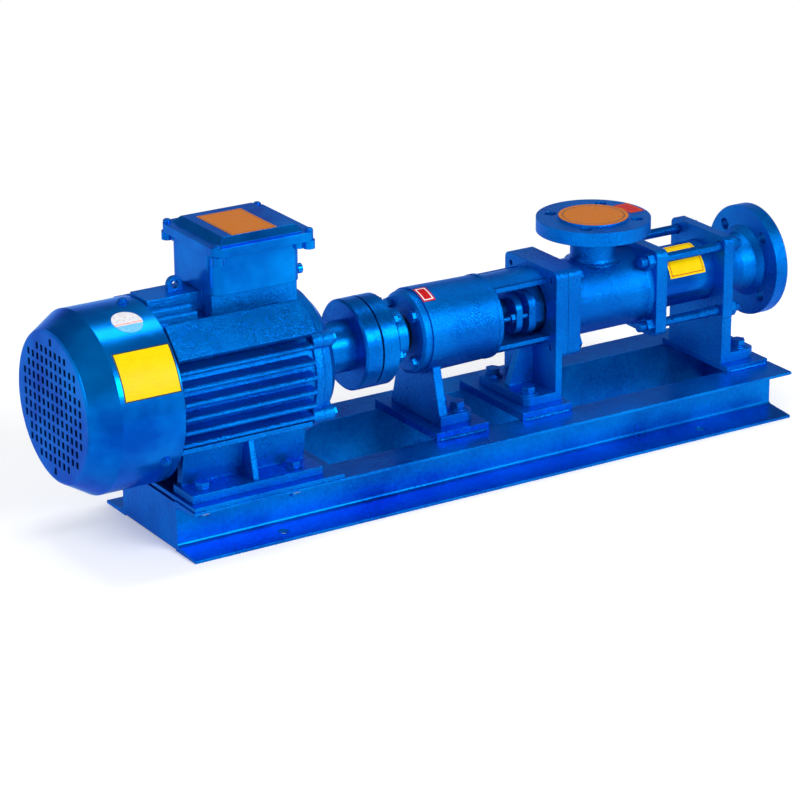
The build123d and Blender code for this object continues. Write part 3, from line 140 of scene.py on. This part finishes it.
def enamel_into(tree, shader, grain, rough, speckle, shade=1.0, edge=0.0012):
    """Glossy blue enamel with slow colour drift and grain; returns its colour socket.

    grain is (repeats per metre, depth), rough is (least, most), speckle is the grain's
    share in the colour, and edge is the radius that the paint rounds edges to.
    """
    grain_scale, grain_depth = grain
    drift = noise(tree, 7, 4, 0.6)
    fine = noise(tree, grain_scale, 3, 0.6)
    mixed = math_node(tree, "MULTIPLY", fine.outputs["Fac"], speckle)
    rest = math_node(tree, "MULTIPLY", drift.outputs["Fac"], 1.4 - speckle)
    mixed = math_node(tree, "ADD", mixed, rest)
    deep = tuple(shade * c for c in PAINT_DEEP)
    full = tuple(shade * c for c in PAINT_FULL)
    color = ramp(tree, mixed, [(0.48, deep), (0.92, full)])
    gloss = ramp(tree, drift.outputs["Fac"], [(0.35, grey(rough[0])), (0.7, grey(rough[1]))])
    tree.links.new(gloss.outputs["Color"], shader.inputs["Roughness"])
    shader.inputs["Metallic"].default_value = PAINT_METAL
    shader.inputs["Specular IOR Level"].default_value = 0.15
    shader.inputs["Specular Tint"].default_value = PAINT_SHEEN
    coarse = noise(tree, grain_scale * 0.3, 3, 0.55)
    bumps(tree, shader, [(fine.outputs["Fac"], 0.75, grain_depth),
                         (coarse.outputs["Fac"], 0.12, grain_depth * 1.2)], edge)
    return color.outputs["Color"]


def enamel(name, grain, rough, speckle, shade=1.0, edge=0.0012):
    """Blue enamel of one kind of part."""
    material, tree, shader = new_material(name)
    color = enamel_into(tree, shader, grain, rough, speckle, shade, edge)
    tree.links.new(color, shader.inputs["Base Color"])
    return material


def metal(name, color, rough, scratch=(1, 60, 60)):
    """Machined metal with fine turning marks."""
    material, tree, shader = new_material(name)
    marks = noise(tree, 40, 4, 0.6, scratch)
    stain = noise(tree, 25, 3)
    dark = tuple(0.6 * c for c in color)
    tint = ramp(tree, stain.outputs["Fac"], [(0.3, dark), (0.65, color)])
    tree.links.new(tint.outputs["Color"], shader.inputs["Base Color"])
    gloss = ramp(tree, marks.outputs["Fac"], [(0.3, grey(rough - 0.08)), (0.7, grey(rough + 0.1))])
    tree.links.new(gloss.outputs["Color"], shader.inputs["Roughness"])
    shader.inputs["Metallic"].default_value = 1.0
    bumps(tree, shader, [(marks.outputs["Fac"], 0.2, 0.0003)], 0.0005)
    return material


def painted_shaft(name, painted_from, painted_to):
    """Bright shaft whose open stretch was painted over together with the pump; that stretch is the
    pump's enamel at 0.6 of its brightness, painted shade for the lantern window and the gap behind
    the coupling where it lies.
    """
    material, tree, shader = new_material(name)
    # shade=0.6 is painted shade: the same enamel as the pump, made darker for the shaded gaps the
    # shaft sits in
    paint = enamel_into(tree, shader, grain=(300, 0.0003), rough=(0.3, 0.42), speckle=0.3,
                        shade=0.6, edge=0.0008)
    place = tree.nodes.new("ShaderNodeTexCoord")
    split = tree.nodes.new("ShaderNodeSeparateXYZ")
    tree.links.new(place.outputs["Object"], split.inputs["Vector"])
    after = math_node(tree, "GREATER_THAN", split.outputs["X"], painted_from)
    before = math_node(tree, "LESS_THAN", split.outputs["X"], painted_to)
    painted = math_node(tree, "MULTIPLY", after, before)
    mix = tree.nodes.new("ShaderNodeMixRGB")
    mix.inputs["Color1"].default_value = (0.6, 0.6, 0.58, 1)
    tree.links.new(painted, mix.inputs["Fac"])
    tree.links.new(paint, mix.inputs["Color2"])
    tree.links.new(mix.outputs["Color"], shader.inputs["Base Color"])
    return material


def dull(name, low, high, rough, scale, depth, metallic=0.0):
    """Rubber, plastic or bare core material with a fine texture."""
    material, tree, shader = new_material(name)
    texture = noise(tree, scale, 3, 0.6)
    color = ramp(tree, texture.outputs["Fac"], [(0.3, low), (0.7, high)])
    tree.links.new(color.outputs["Color"], shader.inputs["Base Color"])
    gloss = ramp(tree, texture.outputs["Fac"], [(0.3, grey(rough)), (0.8, grey(rough + 0.15))])
    tree.links.new(gloss.outputs["Color"], shader.inputs["Roughness"])
    shader.inputs["Metallic"].default_value = metallic
    bumps(tree, shader, [(texture.outputs["Fac"], 0.4, depth)])
    return material


def vinyl(name, color, rough=0.3):
    """Printed film or foil: faint mottling, small creases and a satin gloss."""
    material, tree, shader = new_material(name)
    mottle = noise(tree, 90, 4, 0.6)
    worn = tuple(0.93 * c for c in color)
    tint = ramp(tree, mottle.outputs["Fac"], [(0.3, worn), (0.6, color)])
    tree.links.new(tint.outputs["Color"], shader.inputs["Base Color"])
    gloss = ramp(tree, mottle.outputs["Fac"], [(0.3, grey(rough)), (0.7, grey(rough + 0.15))])
    tree.links.new(gloss.outputs["Color"], shader.inputs["Roughness"])
    crease = noise(tree, 45, 2, 0.5)
    shader.inputs["Specular IOR Level"].default_value = 0.08
    bumps(tree, shader, [(crease.outputs["Fac"], 0.25, 0.0004)])
    return material


def sticker_film(name):
    """Round sticker: pale upper part, thin warm band, sky-blue lower part."""
    material, tree, shader = new_material(name)
    place = tree.nodes.new("ShaderNodeUVMap")
    split = tree.nodes.new("ShaderNodeSeparateXYZ")
    tree.links.new(place.outputs["UV"], split.inputs["Vector"])
    color = ramp(tree, split.outputs["Y"],
                 [(0.0, (0.02, 0.42, 0.80)), (0.34, (0.62, 0.64, 0.70)), (0.38, (0.80, 0.36, 0.30)),
                  (0.44, (0.70, 0.72, 0.78)), (0.62, (0.78, 0.76, 0.80))], "CONSTANT")
    mottle = noise(tree, 240, 3)
    mix = tree.nodes.new("ShaderNodeMixRGB")
    mix.blend_type = "MULTIPLY"
    mix.inputs["Fac"].default_value = 0.35
    tree.links.new(color.outputs["Color"], mix.inputs["Color1"])
    tree.links.new(mottle.outputs["Fac"], mix.inputs["Color2"])
    tree.links.new(mix.outputs["Color"], shader.inputs["Base Color"])
    gloss = ramp(tree, mottle.outputs["Fac"], [(0.3, grey(0.2)), (0.7, grey(0.4))])
    tree.links.new(gloss.outputs["Color"], shader.inputs["Roughness"])
    bumps(tree, shader, [(mottle.outputs["Fac"], 0.15, 0.0002)])
    return material


MATERIALS = {
    "painted_base": enamel("enamel_rolled_steel", grain=(190, 0.0005), rough=(0.24, 0.40),
                           speckle=0.4, shade=0.95),
    "painted_casting": enamel("enamel_casting", grain=(460, 0.0012), rough=(0.24, 0.36),
                              speckle=0.6, edge=0.0018),
    "painted_smooth": enamel("enamel_smooth", grain=(60, 0.00012), rough=(0.17, 0.28),
                             speckle=0.1),
    "painted_fittings": enamel("enamel_fittings", grain=(220, 0.0004), rough=(0.24, 0.38),
                               speckle=0.5, shade=0.95, edge=0.0007),
    "bare_steel": metal("machined_steel", (0.42, 0.42, 0.43), 0.32),
    "stainless_steel": metal("stainless_steel", (0.62, 0.62, 0.60), 0.22),
    "black_rubber": dull("black_rubber", low=(0.012, 0.012, 0.012), high=(0.03, 0.03, 0.032),
                         rough=0.6, scale=400, depth=0.0002),
    "braided_packing": dull("braided_packing", low=(0.16, 0.13, 0.08), high=(0.4, 0.34, 0.22),
                            rough=0.7, scale=500, depth=0.0006),
    "black_plastic": dull("black_plastic", low=(0.01, 0.01, 0.012), high=(0.025, 0.025, 0.03),
                          rough=0.45, scale=350, depth=0.0002),
    "copper_windings": dull("varnished_copper", low=(0.25, 0.07, 0.02), high=(0.55, 0.2, 0.07),
                            rough=0.3, scale=600, depth=0.0008, metallic=0.7),
    "core_steel": metal("core_sheets", (0.16, 0.16, 0.17), 0.45, scratch=(700, 1, 1)),
}
OWN_MATERIALS = {
    "drive_shaft": painted_shaft("painted_shaft", painted_from=-0.130, painted_to=0.090),
    "motor_frame": enamel("enamel_sand_cast", grain=(430, 0.0015), rough=(0.22, 0.34),
                          speckle=0.7, edge=0.0020),
}

for part in record["subparts"]:
    mesh = nodes[part["node"]].data
    mesh.materials.clear()
    mesh.materials.append(OWN_MATERIALS.get(part["node"], MATERIALS[part["material_slot"]]))


# ---------- panels ----------
PANEL_TOP = 0.35 * MM
PANEL_BACK = 0.05 * MM


def finish_piece(name, bm, materials):
    """Turn a built mesh into a piece of the fixed body."""
    bmesh.ops.recalc_face_normals(bm, faces=bm.faces)
    mesh = bpy.data.meshes.new(name)
    bm.to_mesh(mesh)
    bm.free()
    for material in materials:
        mesh.materials.append(material)
    piece = bpy.data.objects.new(name, mesh)
    bpy.context.scene.collection.objects.link(piece)
    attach(piece, ROOT)


def half_width(node):
    """Radius of a round node that lies along X."""
    low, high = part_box(node)
    return (high[1] - low[1]) / 2


def on_cylinder(radius, mid_x, mid_degrees):
    """Map from flat (along X, up) metres to the near side of a cylinder on the pump's axis."""
    def place(u, v, lift):
        angle = math.radians(mid_degrees) + v / radius
        r = radius + lift
        return Vector((mid_x + u, -r * math.cos(angle), AXIS_Z + r * math.sin(angle)))
    return place


def on_top(mid_x, mid_y, z):
    """Map from flat (along X, along Y) metres to a level face."""
    def place(u, v, lift):
        return Vector((mid_x + u, mid_y + v, z + lift))
    return place


def cuts(size, bands, step):
    """Grid lines across a panel: band edges near both rims, even steps between."""
    half = size / 2
    insets = [inset for inset, _ in bands]
    low = [-half + inset for inset in insets]
    inner = -half + insets[-1]
    count = max(2, round(-2 * inner / step))
    middle = [inner + i * (-2 * inner / count) for i in range(1, count)]
    return low + middle + [-value for value in reversed(low)]


def rim(grid):
    """Outer points of a grid, once round."""
    return (grid[0] + [row[-1] for row in grid[1:]] + grid[-1][-2::-1]
            + [row[0] for row in grid[-2:0:-1]])


def rect_panel(name, place, size, bands, materials):
    """Thin rectangular panel; bands are (inset from the rim, material index), outermost first."""
    us = cuts(size[0], bands, 6 * MM)
    vs = cuts(size[1], bands, 6 * MM)
    bm = bmesh.new()
    top = [[bm.verts.new(place(u, v, PANEL_TOP)) for u in us] for v in vs]
    low = [[bm.verts.new(place(u, v, PANEL_BACK)) for u in us] for v in vs]
    for j in range(len(vs) - 1):
        for i in range(len(us) - 1):
            u, v = (us[i] + us[i + 1]) / 2, (vs[j] + vs[j + 1]) / 2
            depth = min(size[0] / 2 - abs(u), size[1] / 2 - abs(v))
            face = bm.faces.new((top[j][i], top[j][i + 1], top[j + 1][i + 1], top[j + 1][i]))
            face.material_index = [index for inset, index in bands if inset <= depth][-1]
            bm.faces.new((low[j][i], low[j + 1][i], low[j + 1][i + 1], low[j][i + 1]))
    rim_top, rim_low = rim(top), rim(low)
    for k in range(len(rim_top)):
        n = (k + 1) % len(rim_top)
        bm.faces.new((rim_low[k], rim_low[n], rim_top[n], rim_top[k]))
    finish_piece(name, bm, materials)


def disc_panel(name, place, rings, materials):
    """Thin round panel; rings are (outer radius, material index) from the middle outwards."""
    sides = 72
    bm = bmesh.new()
    uv = bm.loops.layers.uv.new("UVMap")
    reach = rings[-1][0]
    radii = []
    last = 0.0
    for radius, index in rings:
        steps = max(1, round((radius - last) / (5 * MM)))
        radii += [(last + (radius - last) * (i + 1) / steps, index) for i in range(steps)]
        last = radius
    flat = {}

    def ring_of(radius, lift):
        ring = []
        for i in range(sides):
            turn = 2 * math.pi * i / sides
            u, v = radius * math.cos(turn), radius * math.sin(turn)
            vert = bm.verts.new(place(u, v, lift))
            flat[vert] = (0.5 + u / (2 * reach), 0.5 + v / (2 * reach))
            ring.append(vert)
        return ring

    for lift, flip in ((PANEL_TOP, False), (PANEL_BACK, True)):
        centre = bm.verts.new(place(0, 0, lift))
        flat[centre] = (0.5, 0.5)
        inner = None
        for radius, index in radii:
            outer = ring_of(radius, lift)
            for i in range(sides):
                n = (i + 1) % sides
                corners = (inner[i], outer[i], outer[n], inner[n]) if inner else (
                    centre, outer[i], outer[n])
                face = bm.faces.new(corners[::-1] if flip else corners)
                face.material_index = index
            inner = outer
        if flip:
            low_rim = outer
        else:
            top_rim = outer
    for i in range(sides):
        n = (i + 1) % sides
        bm.faces.new((low_rim[i], low_rim[n], top_rim[n], top_rim[i]))
    for face in bm.faces:
        for loop in face.loops:
            loop[uv].uv = flat[loop.vert]
    finish_piece(name, bm, materials)


yellow = vinyl("yellow_film", (0.757, 0.528, 0))
dark_line = vinyl("dark_print", (0.02, 0.03, 0.05))
red_line = vinyl("red_print", (0.45, 0.02, 0.01))
red = vinyl("red_film", (0.45, 0.006, 0.01))
orange = vinyl("orange_foil", (0.475, 0.128, 0.0009), 0.25)
pale = vinyl("pale_print", (0.72, 0.70, 0.72))
cover_r = half_width("fan_cover")
tube_r = half_width("stator_tube")
lid_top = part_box("terminal_box_lid")[1][2]
suction_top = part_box("suction_chamber")[1][2]
raised_face = 2 * MM

rect_panel("panel_fan_cover", on_cylinder(cover_r, mid_x=-0.5505, mid_degrees=31),
           (83 * MM, 67 * MM), [(0, 1), (1.6 * MM, 0)], [yellow, dark_line])
disc_panel("sticker_fan_cover", on_cylinder(cover_r, mid_x=-0.5478, mid_degrees=67.5),
           [(21 * MM, 0)], [sticker_film("sticker_film")])
rect_panel("panel_housing", on_cylinder(HOUSING_R, mid_x=-0.0715, mid_degrees=71),
           (20 * MM, 31 * MM), [(0, 0), (2.2 * MM, 1), (4.0 * MM, 0)], [red, pale])
rect_panel("panel_tube", on_cylinder(tube_r, mid_x=0.369, mid_degrees=51),
           (63 * MM, 57 * MM), [(0, 0), (3.0 * MM, 1), (4.2 * MM, 0)], [yellow, red_line])
rect_panel("panel_lid", on_top(-0.3592, -0.0075, lid_top), (68 * MM, 98 * MM),
           [(0, 0), (2.0 * MM, 1), (2.8 * MM, 0)], [orange, dark_line])
disc_panel("disc_suction", on_top(SUCTION_X, 0, suction_top),
           [(43.5 * MM, 0), (44.8 * MM, 1), (50.3 * MM, 0)], [orange, dark_line])
rect_panel("panel_suction_flange",
           on_top(SUCTION_X + 65.5 * MM, 4 * MM, suction_top - raised_face),
           (25 * MM, 42 * MM), [(0, 0), (2.5 * MM, 1), (3.5 * MM, 0)], [red, orange])


# ---------- threads and welds ----------
def helix_ridge(name, start, length, radius, pitch):
    """Screw thread as one ridge wound along +X on a stud end, run out at both ends."""
    sides = 20
    run_out = 6
    half_foot = 0.42 * pitch
    height = 0.32 * pitch
    sunk = 0.05 * MM
    count = int(sides * length / pitch)
    bm = bmesh.new()
    rows = []
    for k in range(count + 1):
        turn = 2 * math.pi * k / sides
        x = start[0] + pitch * k / sides
        crest = height * min(1.0, k / run_out, (count - k) / run_out)
        row = []
        for dx, dr in ((-half_foot, -sunk), (0, crest), (half_foot, -sunk)):
            r = radius + dr
            row.append(bm.verts.new((x + dx, start[1] + r * math.cos(turn),
                                     start[2] + r * math.sin(turn))))
        rows.append(row)
    join_rows(bm, rows)
    finish_piece(name, bm, [MATERIALS["painted_fittings"]])


def join_rows(bm, rows):
    """Closed tube through rows of points, with a face at each end; returns its side faces."""
    corners = len(rows[0])
    faces = []
    for a, b in zip(rows, rows[1:]):
        for i in range(corners):
            n = (i + 1) % corners
            faces.append(bm.faces.new((a[i], a[n], b[n], b[i])))
    bm.faces.new(rows[0][::-1])
    bm.faces.new(rows[-1])
    return faces


def thread_ends(rods, nuts, radius, pitch):
    """Threads on the stretches of straight rods that stand out of their nuts."""
    low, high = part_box(rods)
    nut_low, nut_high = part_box(nuts)
    margin = 0.5 * pitch
    spans = [(low[0] + margin, nut_low[0]), (nut_high[0], high[0] - margin)]
    for i, y in enumerate((low[1] + radius, high[1] - radius)):
        for j, z in enumerate((low[2] + radius, high[2] - radius)):
            for k, (x0, x1) in enumerate(spans):
                helix_ridge(f"thread_{rods}_{i}{j}{k}", (x0, y, z), x1 - x0, radius, pitch)


def weld_bead(name, start, end, radius, seed):
    """Rippled weld along a straight seam, centred on the seam line."""
    rng = random.Random(seed)
    sides = 9
    step = 1.2 * MM
    ripple_pitch = 4.5 * MM
    start, end = Vector(start), Vector(end)
    along = (end - start).normalized()
    side = along.cross(Vector((0, 0, 1)))
    length = (end - start).length
    count = int(length / step)
    bm = bmesh.new()
    rows = []
    for k in range(count + 1):
        t = k / count
        wave = math.sin(2 * math.pi * t * length / ripple_pitch)
        ripple = 1 + 0.24 * wave + rng.uniform(-0.12, 0.12)
        if k in (0, count):
            ripple = 0.45
        centre = start.lerp(end, t)
        row = []
        for i in range(sides):
            angle = 2 * math.pi * i / sides
            across = side * (radius * ripple * math.cos(angle))
            rise = Vector((0, 0, radius * 0.8 * ripple * math.sin(angle)))
            row.append(bm.verts.new(centre + across + rise))
        rows.append(row)
    for face in join_rows(bm, rows):
        face.smooth = True
    finish_piece(name, bm, [MATERIALS["painted_base"]])


def weld_spans(pad, low_x, high_x):
    """Welded stretches of a pad's long edge: three stitches on the motor's, one on the rest."""
    if pad == "motor_pad":
        return [(low_x + 10 * MM, low_x + 60 * MM), (low_x + 95 * MM, low_x + 145 * MM),
                (high_x - 70 * MM, high_x - 15 * MM)]
    return [(low_x + 4 * MM, high_x - 4 * MM)]


def weld_pads():
    """Beads along both outer edges of every pad on the channels."""
    for pad in ("motor_pad", "bearing_foot_pad", "bracket_foot_pad", "outlet_foot_pad"):
        low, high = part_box(pad)
        radius = (1.7 if pad == "motor_pad" else 3.4) * MM
        z = low[2] + 1.19 * MM
        for side, side_name in ((-1, "near"), (1, "far")):
            y = side * (high[1] - 0.9 * MM)
            for n, (x0, x1) in enumerate(weld_spans(pad, low[0], high[0])):
                weld_bead(f"weld_{pad}_{side_name}_{n}", (x0, y, z), (x1, y, z), radius,
                          seed=len(pad) + n + side)


thread_ends("tie_rods", "tie_rod_nuts", TIE_ROD_R, pitch=1.9 * MM)
weld_pads()


# ---------- stage, light and camera ----------
def seen_direct(tree):
    """1 for rays that come straight from the camera, a mirror or glass."""
    path = tree.nodes.new("ShaderNodeLightPath")
    total = math_node(tree, "ADD", path.outputs["Is Camera Ray"], path.outputs["Is Glossy Ray"])
    total = math_node(tree, "ADD", total, path.outputs["Is Transmission Ray"])
    return math_node(tree, "MINIMUM", total, 1.0)


def build_floor():
    """Pale floor that keeps the shadow near the object and fades to the white backdrop."""
    size = 14.0
    fade_from, fade_to = 0.7, 1.3
    mesh = bpy.data.meshes.new("studio_floor")
    mesh.from_pydata([(-size, -size, 0), (size, -size, 0), (size, size, 0), (-size, size, 0)],
                     [], [(0, 1, 2, 3)])
    floor = bpy.data.objects.new("studio_floor", mesh)
    bpy.context.scene.collection.objects.link(floor)
    material, tree, shader = new_material("floor_pale")
    shader.inputs["Base Color"].default_value = (0.9, 0.9, 0.9, 1)
    shader.inputs["Roughness"].default_value = 0.9
    shader.inputs["Specular IOR Level"].default_value = 0.1
    place = tree.nodes.new("ShaderNodeTexCoord")
    reach = tree.nodes.new("ShaderNodeVectorMath")
    reach.operation = "LENGTH"
    tree.links.new(place.outputs["Object"], reach.inputs[0])
    fade = tree.nodes.new("ShaderNodeMapRange")
    fade.interpolation_type = "SMOOTHSTEP"
    fade.inputs["From Min"].default_value = fade_from
    fade.inputs["From Max"].default_value = fade_to
    tree.links.new(reach.outputs["Value"], fade.inputs["Value"])
    glow = tree.nodes.new("ShaderNodeEmission")
    glow.inputs["Strength"].default_value = 1.0
    lift = tree.nodes.new("ShaderNodeEmission")
    direct = seen_direct(tree)
    tree.links.new(math_node(tree, "MULTIPLY", direct, 0.22), lift.inputs["Strength"])
    near = tree.nodes.new("ShaderNodeAddShader")
    tree.links.new(shader.outputs["BSDF"], near.inputs[0])
    tree.links.new(lift.outputs["Emission"], near.inputs[1])
    mix = tree.nodes.new("ShaderNodeMixShader")
    tree.links.new(math_node(tree, "MULTIPLY", fade.outputs["Result"], direct), mix.inputs["Fac"])
    tree.links.new(near.outputs["Shader"], mix.inputs[1])
    tree.links.new(glow.outputs["Emission"], mix.inputs[2])
    tree.links.new(mix.outputs["Shader"], tree.nodes["Material Output"].inputs["Surface"])
    mesh.materials.append(material)


def build_world():
    """White backdrop that darkens overhead in reflections, and a dim sky for soft light."""
    world = bpy.data.worlds.new("studio")
    bpy.context.scene.world = world
    world.use_nodes = True
    tree = world.node_tree
    tree.nodes.clear()
    out = tree.nodes.new("ShaderNodeOutputWorld")
    place = tree.nodes.new("ShaderNodeTexCoord")
    split = tree.nodes.new("ShaderNodeSeparateXYZ")
    tree.links.new(place.outputs["Generated"], split.inputs["Vector"])
    ceiling = ramp(tree, split.outputs["Z"], [(0.10, grey(1.0)), (0.42, grey(0.10))])
    mix = tree.nodes.new("ShaderNodeMixShader")
    dim = tree.nodes.new("ShaderNodeBackground")
    dim.inputs["Color"].default_value = (0.95, 0.97, 1.0, 1)
    dim.inputs["Strength"].default_value = 0.34
    white = tree.nodes.new("ShaderNodeBackground")
    tree.links.new(ceiling.outputs["Color"], white.inputs["Color"])
    white.inputs["Strength"].default_value = 1.0
    tree.links.new(seen_direct(tree), mix.inputs["Fac"])
    tree.links.new(dim.outputs["Background"], mix.inputs[1])
    tree.links.new(white.outputs["Background"], mix.inputs[2])
    tree.links.new(mix.outputs["Shader"], out.inputs["Surface"])


def area_light(name, place, target, size, power):
    """Rectangular lamp turned towards a target."""
    data = bpy.data.lights.new(name, "AREA")
    data.shape = "RECTANGLE"
    data.size, data.size_y = size
    data.energy = power
    lamp = bpy.data.objects.new(name, data)
    lamp.location = place
    lamp.rotation_euler = (Vector(target) - Vector(place)).to_track_quat("-Z", "Y").to_euler()
    bpy.context.scene.collection.objects.link(lamp)


def build_camera():
    """Camera at the photograph's angle."""
    azimuth, elevation, roll = (math.radians(a) for a in (32.0905, 20.6181, -0.3287))
    back = Vector((-math.sin(azimuth) * math.cos(elevation),
                   -math.cos(azimuth) * math.cos(elevation), math.sin(elevation)))
    right = (-back).cross(Vector((0, 0, 1))).normalized()
    up = right.cross(-back)
    right_rolled = right * math.cos(roll) + up * math.sin(roll)
    up_rolled = up * math.cos(roll) - right * math.sin(roll)
    data = bpy.data.cameras.new("camera")
    data.sensor_width = 36
    data.lens = 145.692
    data.clip_end = 50
    camera = bpy.data.objects.new("camera", data)
    turn = Matrix((right_rolled, up_rolled, back)).transposed().to_4x4()
    camera.matrix_world = Matrix.Translation((-2.3602, -3.6052, 1.7113)) @ turn
    bpy.context.scene.collection.objects.link(camera)
    bpy.context.scene.camera = camera


build_floor()
build_world()
area_light("key", (0.8, -3.1, 1.9), (0, 0, 0.2), size=(2.2, 1.2), power=114)
area_light("top", (0.0, 0.4, 2.8), (0, 0, 0.2), size=(2.0, 0.8), power=32)
area_light("left", (-3.0, -0.6, 1.2), (-0.3, 0, 0.2), size=(0.9, 1.4), power=30)
build_camera()

bpy.context.scene.view_settings.view_transform = "Standard"
